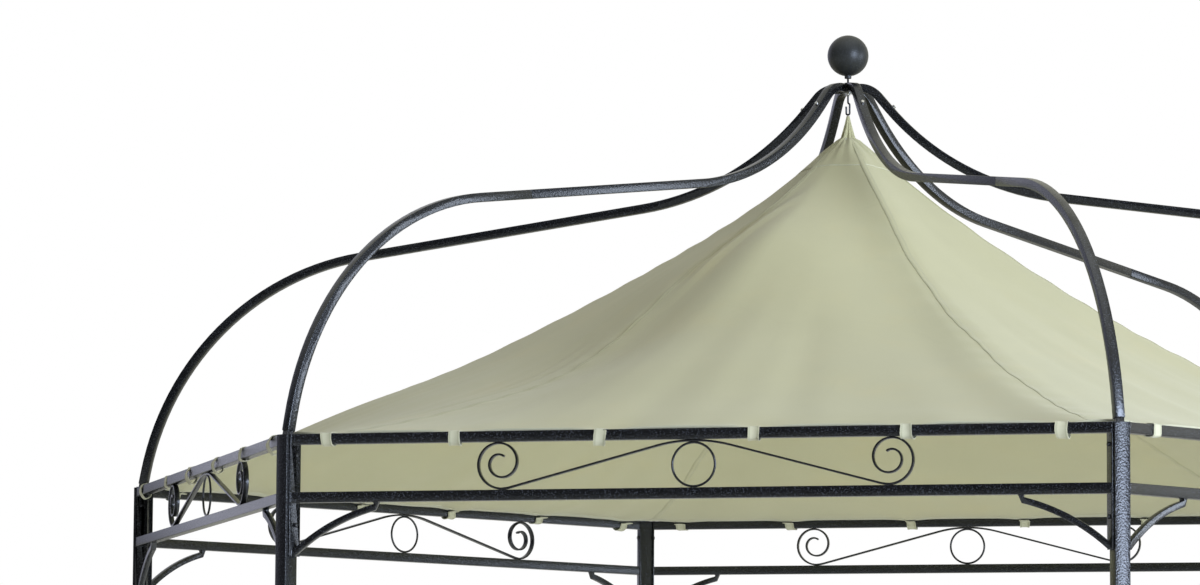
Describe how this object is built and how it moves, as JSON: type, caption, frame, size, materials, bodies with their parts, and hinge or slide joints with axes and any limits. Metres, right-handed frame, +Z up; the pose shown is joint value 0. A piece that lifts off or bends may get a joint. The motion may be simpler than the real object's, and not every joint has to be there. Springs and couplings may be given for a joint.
{
  "type": "garden gazebo",
  "caption": "Hexagonal steel garden gazebo with scrollwork side rails, curved crown ribs under a ball finial and a hung fabric canopy.",
  "frame": {"origin": "on the gazebo's centre axis at ground level, under the six foot plates", "axes": "+Z up along the centre axis; the front side faces -Y, with a post on the +X axis and one on the -X axis"},
  "size_m": [3.568, 3.14, 3.1396],
  "materials": {
    "frame_coat": "anthracite hammered powder coat",
    "scroll_coat": "near-black satin powder coat",
    "ball_coat": "satin dark grey coat",
    "zinc": "zinc plated",
    "canopy_cloth": "woven sage-beige polyester"
  },
  "bodies": {
    "root": {"post_right": "frame_coat", "post_back_right": "frame_coat", "post_back_left": "frame_coat", "post_left": "frame_coat", "post_front_left": "frame_coat", "post_front_right": "frame_coat", "side_frame_back_right": "frame_coat", "side_frame_back": "frame_coat", "side_frame_back_left": "frame_coat", "side_frame_front_left": "frame_coat", "side_frame_front": "frame_coat", "side_frame_front_right": "frame_coat", "scrollwork_back_right": "scroll_coat", "scrollwork_back": "scroll_coat", "scrollwork_back_left": "scroll_coat", "scrollwork_front_left": "scroll_coat", "scrollwork_front": "scroll_coat", "scrollwork_front_right": "scroll_coat", "lower_rib_right": "frame_coat", "lower_rib_back_right": "frame_coat", "lower_rib_back_left": "frame_coat", "lower_rib_left": "frame_coat", "lower_rib_front_left": "frame_coat", "lower_rib_front_right": "frame_coat", "upper_rib_right": "frame_coat", "upper_rib_back_right": "frame_coat", "upper_rib_back_left": "frame_coat", "upper_rib_left": "frame_coat", "upper_rib_front_left": "frame_coat", "upper_rib_front_right": "frame_coat", "crown_hub": "frame_coat", "ball_finial": "ball_coat", "crown_nut": "zinc", "canopy_hook": "scroll_coat", "canopy_point": "canopy_cloth", "canopy_panel_back_right": "canopy_cloth", "canopy_panel_back": "canopy_cloth", "canopy_panel_back_left": "canopy_cloth", "canopy_panel_front_left": "canopy_cloth", "canopy_panel_front": "canopy_cloth", "canopy_panel_front_right": "canopy_cloth", "rail_loops_back_right": "canopy_cloth", "rail_loops_back": "canopy_cloth", "rail_loops_back_left": "canopy_cloth", "rail_loops_front_left": "canopy_cloth", "rail_loops_front": "canopy_cloth", "rail_loops_front_right": "canopy_cloth"}
  },
  "joints": []
}
